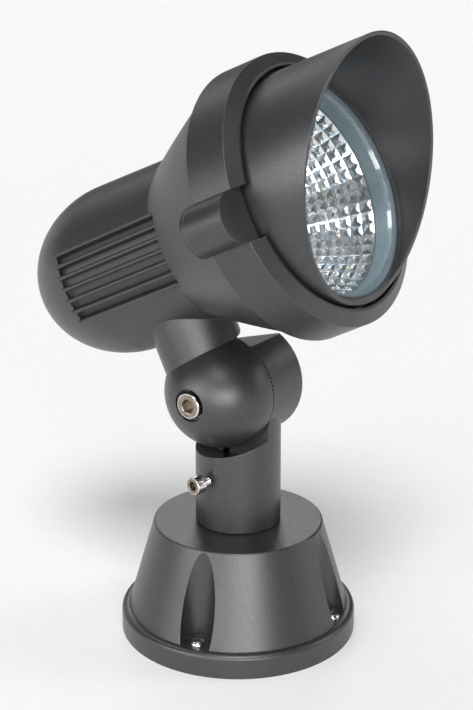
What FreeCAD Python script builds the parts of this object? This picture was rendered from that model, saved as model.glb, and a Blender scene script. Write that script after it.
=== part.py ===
import FreeCAD, Part
import math
import os

# Garden spotlight on a surface base. Millimetres, +Z up, the lamp faces -Y.
# The origin is the centre of the base's underside, on the axis of the post.

V = FreeCAD.Vector
X_AXIS = V(1, 0, 0)
Z_AXIS = V(0, 0, 1)
NOWHERE = V(0, 0, 0)

# --- fits ------------------------------------------------------------------
running_fit = 0.05          # radial, shaft in a bore that turns or slides on it
free_fit = 0.2              # radial, a screw in a clearance hole, a lid in its rebate
joint_gap = 0.4             # neck to the ear

# --- base ------------------------------------------------------------------
flange_radius = 46.0
flange_height = 9.5
cone_foot_radius = 43.0
cone_top_radius = 32.8
cone_top_height = 45.0
canopy_wall = 3.0
canopy_edge_round = 0.7
flange_edge_round = 2.0
seal_land_width = 6.5       # ring inside the flange that presses on the gasket
flute_count = 4
flute_radius = 6.6
flute_circle_radius = 39.6
flute_first_angle = 12.5    # degrees from +X
flute_wall = 2.5
plate_thickness = 3.0
base_gasket_thickness = 2.0
fixing_count = 3
fixing_circle_radius = 28.0
fixing_hole_radius = 2.6
cable_radius = 4.0
grommet_wall = 1.5
grommet_flange = 2.5
grommet_flange_height = 2.0
terminal_width = 16.0
terminal_depth = 9.0
terminal_height = 11.0
terminal_offset = 19.0
terminal_hole_radius = 1.6
earth_screw_x = -19.0
earth_screw_y = 6.0

# --- spigot that carries the post --------------------------------------------
spigot_radius = 12.8
spigot_roof = 6.6           # height from the top of the spigot to the ear
spigot_stub_radius = 8.0
spigot_bore_radius = 4.0
spigot_nut_flats = 22.0
spigot_nut_height = 5.0
spigot_washer_radius = 12.0
spigot_washer_height = 1.0
groove_depth = 1.5          # groove that the set screw drops into
groove_width = 6.0
o_ring_radius = 1.0
o_ring_height = 6.0         # above the foot of the post

# --- post and ear ------------------------------------------------------------
post_foot_radius = 16.5
post_top_radius = 16.35
post_foot_round = 0.6
pivot_height = 98.8
pivot_setback = 3.5         # the pivot lies behind the axis of the post
joint_plane = -3.0          # x of the serrated joint between ball and ear
ear_radius = 21.7
ear_far_side = 18.5
ear_edge_round = 2.5
ear_flat_height = 14.8      # flat on top of the ear, above the pivot
ear_flat_lean = 16.0        # degrees, it falls towards the rear
seat_gap = 4.0              # ball to the dished top of the post
wire_chamber_radius = 8.5
wire_chamber_in_ball = 9.0
wire_chamber_in_ear = 6.5
wire_bore_radius = 3.5
tooth_count = 90
tooth_depth = 0.55          # at the ear's rim
tooth_gap = 0.12            # the clamp screw is slack by this much

# --- set screw (M4) ----------------------------------------------------------
set_screw_radius = 2.0
set_screw_drop = 5.3        # below the top of the spigot
set_screw_angle = -11.0     # degrees, from -X towards +Y
set_screw_head_radius = 3.5
set_screw_head_length = 4.0
set_screw_length = 6.8
set_screw_tip_gap = 0.2     # tip to the spigot, as the screw is backed out
set_screw_key = 3.5         # across flats

# --- pivot screw (M6) --------------------------------------------------------
pivot_screw_radius = 3.0
pivot_screw_head_radius = 5.0
pivot_screw_head_length = 6.0
pivot_screw_key = 5.0
pivot_screw_proud = 0.8     # head above the rim of its counterbore
counterbore_radius = 6.3
pivot_washer_radius = 6.1
pivot_washer_height = 1.0
pivot_nut_flats = 10.0
pivot_nut_height = 5.0
pivot_nut_recess = 0.6

# --- lamp head: stations run forward along its axis from the pivot -------------
head_tilt = 26.0            # degrees above level, at rest
axis_above_pivot = 56.4
ball_radius = 21.9
ball_centre_x = -5.6
neck_radius = 16.2
neck_x = -5.5
neck_station = -2.0
neck_depth = 20.0           # top of the neck, below the lamp's axis
body_radius = 33.3
body_taper = 1.3            # the body is slimmer by this much where the bell starts
dome_station = -24.5
dome_length = 41.0
bell_station = 16.5
bell_mid_station = 33.0
bell_rim_radius = 49.6
bell_mid_share = 0.46       # of the way from the body's radius to the rim's
ring_rear_station = 54.7
housing_front_station = 62.0
housing_wall = 3.4
rim_wall = 3.4
rear_cavity_radius = 27.0
rear_cavity_depth = 40.0    # behind the web
web_station = 5.0
web_thickness = 4.0
web_opening_radius = 20.0

# --- cooling ribs --------------------------------------------------------------
rib_count = 7
rib_pitch = 7.8             # degrees
rib_thickness = 1.6
rib_tip_radius = 34.2
rib_pocket_radius = 30.6
rib_rear_station = -32.0
rib_front_station = 21.0

# --- front ring and its screw bosses ---------------------------------------------
ring_front_station = 70.9
ring_wall = 1.5
ring_taper = 0.6            # the side draws in by this much towards the front
ring_lip_station = 73.7
ring_lip_width = 1.0
ring_lip_back_station = 66.5
boss_radius = 9.2
boss_overhang = 8.8         # past the side of the ring
boss_rear_station = 51.2
boss_rear_round = 2.2
ring_screw_radius = 2.0
ring_screw_offset = 3.5     # from the middle of the boss, outwards
ring_screw_head_radius = 3.5
ring_screw_head_length = 1.8
ring_screw_key = 2.5
ring_screw_length = 14.0
housing_seal_width = 3.6

# --- hood --------------------------------------------------------------------
hood_radius = 43.4
hood_wall = 1.8
hood_groove = 1.3           # gap between hood and ring
hood_taper = 0.047          # radius lost per length, in front of the ring
hood_flange_thickness = 2.5
hood_cut_station = 95.0     # where the slanted rim crosses the axis
hood_cut_slope = 0.448      # rise of the rim's plane, station per height
hood_stop_station = 73.2
hood_stop_thickness = 1.0
hood_stop_width = 1.0

# --- glass, gasket and reflector -----------------------------------------------
glass_radius = 40.4
glass_thickness = 4.0
glass_lip = 1.2             # overlap of the gasket on the glass
gasket_front_lip = 1.2
gasket_rear_lip = 2.0
reflector_mouth_radius = 38.5
reflector_throat_radius = 10.0
reflector_wall = 1.2
reflector_flange_thickness = 1.2
facet_rings = 8
facets_round = 30

# --- light source --------------------------------------------------------------
spreader_thickness = 3.0
spreader_screw_count = 3
spreader_screw_circle = 23.4
small_screw_radius = 1.5    # M3
small_screw_head_radius = 2.85
small_screw_head_length = 1.7
small_screw_key = 2.0
spreader_screw_length = 6.0
led_side = 19.0
led_thickness = 1.5
emitter_radius = 7.5
emitter_thickness = 0.5
holder_radius = 17.0
holder_height = 4.2
lead_radius = 0.9
lead_spacing = 6.0
lead_height = 13.4
driver_width = 30.0
driver_height = 22.0
driver_length = 26.0
driver_gap = 2.0            # driver to the web
bracket_thickness = 1.2
bracket_lap = 4.0           # of the foot on the web, past its opening
bracket_width = 15.0


# --- places that follow from the sizes above --------------------------------------
pivot = V(0, pivot_setback, pivot_height)
lamp_pivot = V(0, -axis_above_pivot, 0)         # the same point in the lamp's frame
spreader_station = web_station + web_thickness
led_station = spreader_station + spreader_thickness
holder_front_station = led_station + holder_height
hood_bore_radius = hood_radius - hood_wall
hood_flange_station = ring_lip_back_station - hood_flange_thickness
bell_foot_radius = body_radius - body_taper
bell_mid_radius = bell_foot_radius + bell_mid_share * (bell_rim_radius - bell_foot_radius)
gasket_front_station = hood_stop_station
glass_front_station = gasket_front_station - gasket_front_lip
glass_station = glass_front_station - glass_thickness
gasket_station = glass_station - gasket_rear_lip
reflector_mouth_station = gasket_station - reflector_flange_thickness
gasket_bore_radius = glass_radius - glass_lip
gasket_radius = hood_bore_radius - free_fit
ring_bore_radius = bell_rim_radius + free_fit
ring_rear_radius = bell_rim_radius + ring_wall
ring_front_radius = ring_rear_radius - ring_taper
ring_mouth_radius = hood_radius + hood_groove
ring_lip_radius = ring_mouth_radius + ring_lip_width
boss_centre = ring_rear_radius + boss_overhang - boss_radius
ring_screw_centre = boss_centre + ring_screw_offset
ball_face = joint_plane - tooth_gap / 2
ear_face = joint_plane + tooth_gap / 2
counterbore_rim = ball_centre_x - math.sqrt(ball_radius ** 2 - counterbore_radius ** 2)
pivot_head_face = counterbore_rim - pivot_screw_proud
pivot_head_back = pivot_head_face + pivot_screw_head_length
counterbore_floor = pivot_head_back + pivot_washer_height
pivot_nut_place = ear_far_side - pivot_nut_recess - pivot_nut_height
flange_bore_radius = flange_radius - canopy_wall
seal_land_height = plate_thickness + base_gasket_thickness
canopy_roof = cone_top_height - canopy_wall
spigot_top = pivot_height - ear_radius - spigot_roof
set_screw_height = spigot_top - set_screw_drop
driver_station = web_station - driver_gap - driver_length


# --- ways of making solids ---------------------------------------------------------
def section(*steps):
    """Closed outline of (radius, height) points; a pair of points is an arc, an edge stays an edge."""
    edges = []
    start = here = V(steps[0][0], 0, steps[0][1])
    for step in steps[1:]:
        if isinstance(step, Part.Edge):
            edges.append(step)
            here = step.Vertexes[-1].Point
        elif isinstance(step[0], tuple):
            middle, end = (V(p[0], 0, p[1]) for p in step)
            edges.append(Part.Arc(here, middle, end).toShape())
            here = end
        else:
            end = V(step[0], 0, step[1])
            edges.append(Part.makeLine(here, end))
            here = end
    if here.distanceToPoint(start) > 1e-6:
        edges.append(Part.makeLine(here, start))
    return Part.Face(Part.Wire(edges))


def turned(*steps):
    return section(*steps).revolve(NOWHERE, Z_AXIS, 360)


def corner(before, at, after, radius):
    """Arc of a rounded corner, as the pair of points that section() takes, and its start."""
    def along(p, q, length):
        span = math.hypot(q[0] - p[0], q[1] - p[1])
        return (p[0] + (q[0] - p[0]) * length / span, p[1] + (q[1] - p[1]) * length / span)

    a = math.atan2(before[1] - at[1], before[0] - at[0])
    b = math.atan2(after[1] - at[1], after[0] - at[0])
    half = abs((a - b + math.pi) % (2 * math.pi) - math.pi) / 2
    reach = radius / math.tan(half)
    start, end = along(at, before, reach), along(at, after, reach)
    centre_reach = radius / math.sin(half)
    middle_of_ends = ((start[0] + end[0]) / 2, (start[1] + end[1]) / 2)
    middle = along(at, middle_of_ends, centre_reach - radius)
    return start, (middle, end)


def upright(radius, low, high, x=0.0, y=0.0):
    return Part.makeCylinder(radius, high - low, V(x, y, low), Z_AXIS)


def crosswise(radius, left, right, y=pivot_setback, z=pivot_height):
    return Part.makeCylinder(radius, right - left, V(left, y, z), X_AXIS)


def tube(outer, inner, low, high, x=0.0, y=0.0):
    return upright(outer, low, high, x, y).cut(upright(inner, low, high, x, y))


def block(width, depth, height, foot):
    """Box whose foot's centre is given."""
    return Part.makeBox(width, depth, height, V(foot.x - width / 2, foot.y - depth / 2, foot.z))


def hexagon(flats, low, high):
    corner_radius = flats / math.sqrt(3)
    corners = [V(corner_radius * math.cos(math.radians(60 * i)),
                 corner_radius * math.sin(math.radians(60 * i)), low) for i in range(7)]
    return Part.Face(Part.makePolygon(corners)).extrude(V(0, 0, high - low))


def joined(shapes):
    whole = shapes[0]
    for shape in shapes[1:]:
        whole = whole.fuse(shape)
    return whole.removeSplitter()


def socket_screw(radius, length, head_radius, head_length, key):
    """Screw along +Z: head below zero, shank above, hexagon socket in the head."""
    head = turned((0, -head_length), (head_radius - 0.1 * head_radius, -head_length),
                  (head_radius, -head_length + 0.1 * head_radius), (head_radius, 0), (0, 0))
    shank = turned((0, 0), (radius, 0), (radius, length - radius / 3), (radius * 2 / 3, length), (0, length))
    socket = hexagon(key, -head_length, -head_length * 0.45)
    return head.fuse(shank).cut(socket)


def turned_copy(shape, angle, centre=NOWHERE, axis=Z_AXIS):
    copy = shape.copy()
    copy.rotate(centre, axis, angle)
    return copy


def moved_copy(shape, shift):
    copy = shape.copy()
    copy.translate(shift)
    return copy


def mirrored(shape):
    return shape.mirror(NOWHERE, X_AXIS)


def round_the_axis(shape, count, first_angle=0.0):
    return [turned_copy(shape, first_angle + 360.0 * i / count) for i in range(count)]


def solid_of(faces):
    return Part.Solid(Part.Shell([Part.Face(Part.makePolygon(list(f) + [f[0]])) for f in faces]))


def in_place(shape):
    """From the lamp's own frame (z forward, y up, origin on its axis) to the object's frame."""
    placed = moved_copy(shape, NOWHERE - lamp_pivot)
    placed.rotate(NOWHERE, X_AXIS, 90.0 - head_tilt)
    placed.translate(pivot)
    return placed


# --- base ---------------------------------------------------------------------------
def flute_places():
    return [flute_first_angle + 360.0 / flute_count * i for i in range(flute_count)]


def on_flute_circle(make):
    return [turned_copy(make(flute_circle_radius, 0.0), angle) for angle in flute_places()]


def base_canopy():
    flange_start, flange_arc = corner((flange_radius, 0), (flange_radius, flange_height),
                                      (cone_foot_radius, flange_height), flange_edge_round)
    top_start, top_arc = corner((cone_foot_radius, flange_height), (cone_top_radius, cone_top_height),
                                (0, cone_top_height), canopy_edge_round)
    outside = turned((0, 0), (flange_radius, 0), flange_start, flange_arc,
                     (cone_foot_radius, flange_height), top_start, top_arc, (0, cone_top_height))
    flutes = on_flute_circle(lambda x, y: upright(flute_radius, flange_height, cone_top_height + 1, x, y))
    outside = outside.cut(flutes)
    land_radius = flange_bore_radius - seal_land_width
    roof_radius = cone_top_radius - canopy_wall
    hollow = turned((0, 0), (flange_bore_radius, 0), (flange_bore_radius, seal_land_height),
                    (land_radius, seal_land_height), (roof_radius, canopy_roof), (0, canopy_roof))
    walls = on_flute_circle(lambda x, y: upright(flute_radius + flute_wall, seal_land_height,
                                                 cone_top_height, x, y))
    hollow = hollow.cut(walls)
    screw_holes = on_flute_circle(lambda x, y: upright(small_screw_radius + running_fit,
                                                       0, cone_top_height, x, y))
    spigot_hole = upright(spigot_stub_radius + free_fit, 0, cone_top_height + 1)
    return outside.cut([hollow, spigot_hole] + screw_holes)


def base_plate():
    plate = upright(flange_bore_radius - free_fit, 0, plate_thickness)
    fixings = round_the_axis(upright(fixing_hole_radius, -1, plate_thickness + 1, fixing_circle_radius),
                             fixing_count, -90.0)
    screw_holes = on_flute_circle(lambda x, y: upright(small_screw_radius + running_fit, -1,
                                                       plate_thickness + 1, x, y))
    cable_hole = upright(cable_radius + grommet_wall, -1, plate_thickness + 1)
    earth_hole = upright(small_screw_radius + running_fit, -1, plate_thickness + 1,
                         earth_screw_x, earth_screw_y)
    return plate.cut([cable_hole, earth_hole] + fixings + screw_holes)


def base_gasket():
    ring = tube(flange_bore_radius - free_fit, flange_bore_radius - seal_land_width,
                plate_thickness, seal_land_height)
    return ring.cut(on_flute_circle(lambda x, y: upright(small_screw_radius + running_fit,
                                                         0, cone_top_height, x, y)))


def canopy_screws():
    length = flange_height - plate_thickness / 4
    screw = socket_screw(small_screw_radius, length, small_screw_head_radius,
                         small_screw_head_length, small_screw_key)
    screw.rotate(NOWHERE, X_AXIS, 180)
    screw.translate(V(flute_circle_radius, 0, flange_height))
    return Part.makeCompound([turned_copy(screw, angle) for angle in flute_places()])


def cable_grommet():
    neck = cable_radius + grommet_wall
    return turned((cable_radius, 0), (neck, 0), (neck, plate_thickness),
                  (neck + grommet_flange, plate_thickness),
                  (neck + grommet_flange * 0.4, plate_thickness + grommet_flange_height),
                  (cable_radius, plate_thickness + grommet_flange_height))


def terminal_block():
    body = block(terminal_width, terminal_depth, terminal_height, V(0, terminal_offset, plate_thickness))
    wire_holes = [Part.makeCylinder(terminal_hole_radius, terminal_depth,
                                    V(side * terminal_width / 4, terminal_offset - terminal_depth / 2,
                                      plate_thickness + terminal_height / 3), V(0, 1, 0))
                  for side in (-1, 1)]
    screw_wells = [upright(terminal_hole_radius, plate_thickness + terminal_height * 0.7,
                           plate_thickness + terminal_height, side * terminal_width / 4, terminal_offset)
                   for side in (-1, 1)]
    return body.cut(wire_holes + screw_wells)


def earth_screw():
    screw = socket_screw(small_screw_radius, plate_thickness, small_screw_head_radius,
                         small_screw_head_length, small_screw_key)
    screw.rotate(NOWHERE, X_AXIS, 180)
    screw.translate(V(earth_screw_x, earth_screw_y, plate_thickness))
    return screw


# --- spigot ----------------------------------------------------------------------
def base_spigot():
    stub_foot = canopy_roof - spigot_washer_height - spigot_nut_height - 2.0
    groove_low = set_screw_height - groove_width / 2
    groove_high = set_screw_height + groove_width / 2
    ring_middle = cone_top_height + o_ring_height
    ring_floor = spigot_radius - 2 * o_ring_radius
    return turned((spigot_bore_radius, stub_foot), (spigot_stub_radius, stub_foot),
                  (spigot_stub_radius, cone_top_height), (spigot_radius, cone_top_height),
                  (spigot_radius, ring_middle - o_ring_radius), (ring_floor, ring_middle - o_ring_radius),
                  (ring_floor, ring_middle + o_ring_radius), (spigot_radius, ring_middle + o_ring_radius),
                  (spigot_radius, groove_low - groove_depth), (spigot_radius - groove_depth, groove_low),
                  (spigot_radius - groove_depth, groove_high), (spigot_radius, groove_high + groove_depth),
                  (spigot_radius, spigot_top), (spigot_bore_radius, spigot_top))


def spigot_o_ring():
    return Part.makeTorus(spigot_radius - o_ring_radius, o_ring_radius,
                          V(0, 0, cone_top_height + o_ring_height))


def spigot_washer():
    return tube(spigot_washer_radius, spigot_stub_radius + running_fit,
                canopy_roof - spigot_washer_height, canopy_roof)


def spigot_nut():
    top = canopy_roof - spigot_washer_height
    nut = hexagon(spigot_nut_flats, top - spigot_nut_height, top)
    return nut.cut(upright(spigot_stub_radius + running_fit, 0, cone_top_height))


# --- post ------------------------------------------------------------------------
def serration(side, length):
    """Tool that cuts radial V teeth into a face in the YZ plane, and clears what stands before it.

    side is +1 or -1, where the tool stands, and length how far it reaches from the face.
    """
    reach = ear_radius + joint_gap
    rim = []
    for i in range(2 * tooth_count):
        angle = math.pi * i / tooth_count
        drop = tooth_depth if i % 2 else 0.0
        rim.append(V(-side * drop, reach * math.cos(angle), reach * math.sin(angle)))
    lid = [V(side * length, point.y, point.z) for point in rim]
    faces = [lid]
    for i in range(len(rim)):
        j = (i + 1) % len(rim)
        faces.append((NOWHERE, rim[i], rim[j]))
        faces.append((rim[i], rim[j], lid[j], lid[i]))
    return solid_of(faces)


def turned_along_x(*steps):
    """Like turned(), with the heights of the outline running along X."""
    shape = turned(*steps)
    shape.rotate(NOWHERE, V(0, 1, 0), 90)
    return shape


def ear_blank():
    arc_start, arc = corner((ear_radius, ear_face), (ear_radius, ear_far_side), (0, ear_far_side),
                            ear_edge_round)
    return turned_along_x((0, ear_face), (ear_radius, ear_face), arc_start, arc, (0, ear_far_side))


def ear_bores():
    """Wire chamber in the ear's face, and the clamp screw's bore behind it."""
    floor = joint_plane + wire_chamber_in_ear
    return turned_along_x((0, ear_face - 0.5), (wire_chamber_radius, ear_face - 0.5),
                          (wire_chamber_radius, floor), (pivot_screw_radius + running_fit, floor),
                          (pivot_screw_radius + running_fit, ear_far_side + 1), (0, ear_far_side + 1))


def seat_tool():
    """Dish in the top of the post that the ball turns in, up to the serrated joint."""
    reach = ball_radius + seat_gap
    offset = ear_face - ball_centre_x
    edge = math.sqrt(reach ** 2 - offset ** 2)
    middle = (reach * math.sin(math.radians(45)), ball_centre_x - reach * math.cos(math.radians(45)))
    return turned_along_x((0, ball_centre_x - reach), (middle, (edge, ear_face)), (0, ear_face))


def ear_flat():
    """What is missing from the top of the ear's disc, as a block on a leaning plane."""
    reach = 2 * ear_radius
    above = Part.makeBox(2 * reach, 2 * reach, reach, V(-reach, -reach, ear_flat_height))
    return turned_copy(above, -ear_flat_lean, axis=X_AXIS)


def post():
    foot = cone_top_height
    socket_radius = spigot_radius + running_fit
    socket_top = spigot_top + free_fit
    column = turned((socket_radius, foot), (post_foot_radius - post_foot_round, foot),
                    (post_foot_radius, foot + post_foot_round), (post_top_radius, pivot_height),
                    (0, pivot_height), (0, socket_top), (socket_radius, socket_top))
    column.rotate(NOWHERE, Z_AXIS, 180)      # its seam lies under the ball, clear of the ear
    ear = turned_copy(ear_blank(), 180, axis=X_AXIS).cut(ear_flat())
    body = column.fuse(moved_copy(ear, pivot))
    body = body.cut(moved_copy(seat_tool(), pivot)).cut(moved_copy(ear_bores(), pivot))
    teeth = moved_copy(serration(-1, 1.0), V(ear_face, pivot.y, pivot.z))
    wire_bore = upright(wire_bore_radius, socket_top - 1, pivot_height - wire_chamber_radius + 1,
                        joint_plane + wire_chamber_in_ear / 2, pivot_setback)
    nut_pocket = hexagon(pivot_nut_flats + 2 * running_fit, 0, ear_far_side)
    nut_pocket.rotate(NOWHERE, V(0, 1, 0), 90)
    nut_pocket.translate(V(pivot_nut_place, pivot.y, pivot.z))
    thread = crosswise(set_screw_radius + running_fit, -post_foot_radius - 1, 0, 0, set_screw_height)
    return body.cut([teeth, wire_bore, nut_pocket, turned_copy(thread, set_screw_angle)])


def set_screw():
    tip = -(spigot_radius + set_screw_tip_gap)
    screw = socket_screw(set_screw_radius, set_screw_length, set_screw_head_radius,
                         set_screw_head_length, set_screw_key)
    screw.rotate(NOWHERE, V(0, 1, 0), 90)
    screw.translate(V(tip - set_screw_length, 0, set_screw_height))
    return turned_copy(screw, set_screw_angle)


def pivot_screw():
    length = pivot_nut_place + pivot_nut_height - pivot_head_back
    screw = socket_screw(pivot_screw_radius, length, pivot_screw_head_radius,
                         pivot_screw_head_length, pivot_screw_key)
    screw.rotate(NOWHERE, V(0, 1, 0), 90)
    screw.translate(V(pivot_head_back, pivot.y, pivot.z))
    return screw


def pivot_washer():
    return crosswise(pivot_washer_radius, pivot_head_back, counterbore_floor).cut(
        crosswise(pivot_screw_radius + running_fit, pivot_head_back - 1, counterbore_floor + 1))


def pivot_nut():
    nut = hexagon(pivot_nut_flats, 0, pivot_nut_height)
    nut = nut.cut(upright(pivot_screw_radius + running_fit, -1, pivot_nut_height + 1))
    nut.rotate(NOWHERE, V(0, 1, 0), 90)
    nut.translate(V(pivot_nut_place, pivot.y, pivot.z))
    return nut


# --- lamp housing, in the lamp's own frame -----------------------------------------
def body_blank():
    bell = ((bell_mid_radius, bell_mid_station), (bell_rim_radius, ring_rear_station))
    oval = Part.Ellipse(V(0, 0, dome_station - dome_length), V(body_radius, 0, dome_station),
                        V(0, 0, dome_station))
    dome = Part.ArcOfEllipse(oval, 0, math.pi / 2).toShape()
    return turned((0, dome_station - dome_length), dome, (bell_foot_radius, bell_station), bell,
                  (bell_rim_radius, housing_front_station), (0, housing_front_station))


def body_hollow():
    rear = web_station - rear_cavity_depth
    seat_radius = rear_cavity_radius
    behind = turned((0, rear), (seat_radius * 0.6, rear), (seat_radius, rear + seat_radius * 0.5),
                    (seat_radius, web_station), (0, web_station))
    opening = upright(web_opening_radius, web_station - 1, spreader_station + 1)
    front = turned((0, spreader_station), (seat_radius, spreader_station),
                   (seat_radius, rib_front_station + 1.0),
                   (bell_mid_radius - housing_wall, bell_mid_station),
                   (bell_rim_radius - rim_wall, ring_rear_station),
                   (bell_rim_radius - rim_wall, housing_front_station), (0, housing_front_station))
    return [behind, opening, front]


def rib_pocket():
    """Shallow recess on one side that the ribs stand in; the outer ribs are its edges."""
    half_span = math.radians(rib_pitch * (rib_count - 1) / 2)
    reach = 2 * body_radius
    wedge = Part.makePolygon([V(0, 0, 0), V(-reach * math.cos(half_span), reach * math.sin(half_span), 0),
                              V(-reach * math.cos(half_span), -reach * math.sin(half_span), 0), V(0, 0, 0)])
    length = rib_front_station - rib_rear_station
    sector = Part.Face(wedge).extrude(V(0, 0, length))
    sector.translate(V(0, 0, rib_rear_station))
    return sector.cut(upright(rib_pocket_radius, rib_rear_station - 1, rib_front_station + 1))


def ribs():
    """Cooling ribs of one side: round along the tip, and round at the rear end."""
    half = rib_thickness / 2
    root = rib_pocket_radius - 1.0
    shoulder = rib_tip_radius - half
    quarter = math.sqrt(0.5) * half
    bar = section((-half, root), (half, root), (half, shoulder), ((0, rib_tip_radius), (-half, shoulder)))
    bar.rotate(NOWHERE, X_AXIS, -90)
    rib = bar.extrude(V(0, 0, rib_front_station + 1 - rib_rear_station))
    nose = section((0, root), (half, root), (half, shoulder),
                   ((quarter, shoulder + quarter), (0, rib_tip_radius)))
    nose.rotate(NOWHERE, X_AXIS, -90)
    rib = rib.fuse(nose.revolve(NOWHERE, V(0, 1, 0), 180))
    rib.translate(V(0, 0, rib_rear_station))
    middle = (rib_count - 1) / 2
    return [turned_copy(rib, 90.0 + rib_pitch * (i - middle)) for i in range(rib_count)]


def lug():
    """Ear of the housing on the -X side that the ring screw passes."""
    length = ring_rear_station - boss_rear_station
    rear_corner = (boss_radius, 0)
    arc_start, arc = corner((0, 0), rear_corner, (boss_radius, length), boss_rear_round)
    shape = turned((0, 0), arc_start, arc, (boss_radius, length), (0, length))
    shape.translate(V(-boss_centre, 0, boss_rear_station))
    return shape


def lug_holes():
    head_floor = boss_rear_station + ring_screw_head_length + free_fit
    return [upright(ring_screw_radius + free_fit, boss_rear_station - 1, ring_rear_station + 1,
                    -ring_screw_centre),
            upright(ring_screw_head_radius + free_fit, boss_rear_station - 6, head_floor,
                    -ring_screw_centre)]


def ball_and_neck():
    """Half ball of the tilting joint with its bores, and the neck, still without the body."""
    screw_bore = pivot_screw_radius + running_fit
    chamber_floor = joint_plane - wire_chamber_in_ball
    edge = math.sqrt(ball_radius ** 2 - (ball_face - ball_centre_x) ** 2)
    part_way = math.radians(60)
    middle = (ball_radius * math.sin(part_way), ball_centre_x - ball_radius * math.cos(part_way))
    ball = turned_along_x((screw_bore, counterbore_floor), (counterbore_radius, counterbore_floor),
                          (counterbore_radius, counterbore_rim), (middle, (edge, ball_face)),
                          (wire_chamber_radius, ball_face), (wire_chamber_radius, chamber_floor),
                          (screw_bore, chamber_floor))
    neck_foot = wire_chamber_radius + 1.0
    neck = Part.makeCylinder(neck_radius, axis_above_pivot - neck_foot - neck_depth,
                             V(neck_x, neck_foot, neck_station), V(0, 1, 0))
    whole = ball.fuse(neck)
    whole.translate(lamp_pivot)
    return whole


def knuckle_tools():
    teeth = moved_copy(serration(1, neck_radius + ear_far_side), lamp_pivot + V(ball_face, 0, 0))
    bore_foot = wire_chamber_radius - 1.0
    wire_bore = Part.makeCylinder(wire_bore_radius, axis_above_pivot - bore_foot - rear_cavity_radius / 2,
                                  lamp_pivot + V(joint_plane - wire_chamber_in_ball / 2, bore_foot, 0),
                                  V(0, 1, 0))
    return [teeth, wire_bore]


def lamp_housing():
    blank = body_blank().cut([rib_pocket(), mirrored(rib_pocket())])
    side_ribs = ribs()
    lugs = [lug(), mirrored(lug())]
    whole = joined([blank, ball_and_neck()] + side_ribs + [mirrored(rib) for rib in side_ribs] + lugs)
    holes = lug_holes()
    whole = whole.cut(body_hollow() + knuckle_tools() + holes + [mirrored(hole) for hole in holes])
    spreader_holes = round_the_axis(upright(small_screw_radius + running_fit, web_station - 1,
                                            spreader_station + 1, spreader_screw_circle),
                                    spreader_screw_count, 90.0)
    return whole.cut(spreader_holes)


# --- front of the lamp ---------------------------------------------------------------
def front_ring():
    ring = turned((ring_bore_radius, ring_rear_station), (ring_rear_radius, ring_rear_station),
                  (ring_front_radius, ring_front_station), (ring_lip_radius, ring_lip_station),
                  (ring_mouth_radius, ring_lip_station), (ring_mouth_radius, ring_lip_back_station),
                  (ring_bore_radius, ring_lip_back_station))
    boss = upright(boss_radius, ring_rear_station, ring_front_station, -boss_centre)
    inside = upright(ring_bore_radius, ring_rear_station - 1, ring_lip_back_station)
    inside = inside.fuse(upright(ring_mouth_radius, ring_rear_station - 1, ring_lip_station + 1))
    boss = boss.cut(inside)
    spot_face = upright(boss_radius, ring_front_station, ring_lip_station + 1, -boss_centre)
    inward = Part.makeBox(boss_centre, 2 * boss_radius, ring_lip_station + 1 - ring_front_station,
                          V(-boss_centre, -boss_radius, ring_front_station))
    spot_face = spot_face.fuse(inward)
    thread_end = boss_rear_station + ring_screw_head_length + ring_screw_length + 1.0
    thread = upright(ring_screw_radius + running_fit, ring_rear_station - 1, thread_end, -ring_screw_centre)
    ring = joined([ring, boss, mirrored(boss)])
    return ring.cut([spot_face, mirrored(spot_face), thread, mirrored(thread)])


def ring_screws():
    screw = socket_screw(ring_screw_radius, ring_screw_length, ring_screw_head_radius,
                         ring_screw_head_length, ring_screw_key)
    screw.translate(V(-ring_screw_centre, 0, boss_rear_station + ring_screw_head_length + free_fit))
    return Part.makeCompound([screw, mirrored(screw)])


def housing_seal():
    outer = bell_rim_radius
    return tube(outer, outer - housing_seal_width, housing_front_station, hood_flange_station)


def hood():
    top = hood_cut_station + 2 * hood_radius * hood_cut_slope
    stop_end = hood_stop_station + hood_stop_thickness
    loss = hood_taper * (top - ring_lip_station)
    wall = turned((hood_bore_radius, hood_flange_station), (bell_rim_radius, hood_flange_station),
                  (bell_rim_radius, ring_lip_back_station), (hood_radius, ring_lip_back_station),
                  (hood_radius, ring_lip_station), (hood_radius - loss, top),
                  (hood_bore_radius - loss, top), (hood_bore_radius, stop_end),
                  (hood_bore_radius - hood_stop_width, stop_end),
                  (hood_bore_radius - hood_stop_width, hood_stop_station),
                  (hood_bore_radius, hood_stop_station))
    reach = 2 * hood_radius
    beyond = Part.makeBox(2 * reach, 2 * reach, 2 * reach, V(-reach, -reach, 0))
    beyond.rotate(NOWHERE, X_AXIS, math.degrees(math.atan(hood_cut_slope)))
    beyond.translate(V(0, 0, hood_cut_station))
    return wall.cut(beyond)


def front_glass():
    return upright(glass_radius, glass_station, glass_front_station)


def glass_gasket():
    slot = glass_radius + running_fit
    return turned((gasket_bore_radius, gasket_station), (gasket_radius, gasket_station),
                  (gasket_radius, gasket_front_station), (gasket_bore_radius, gasket_front_station),
                  (gasket_bore_radius, glass_front_station), (slot, glass_front_station),
                  (slot, glass_station), (gasket_bore_radius, glass_station))


def bowl_radius(station):
    """Parabola through the reflector's throat and mouth."""
    share = (station - holder_front_station) / (reflector_mouth_station - holder_front_station)
    throat, mouth = reflector_throat_radius ** 2, reflector_mouth_radius ** 2
    return math.sqrt(throat + share * (mouth - throat))


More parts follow.
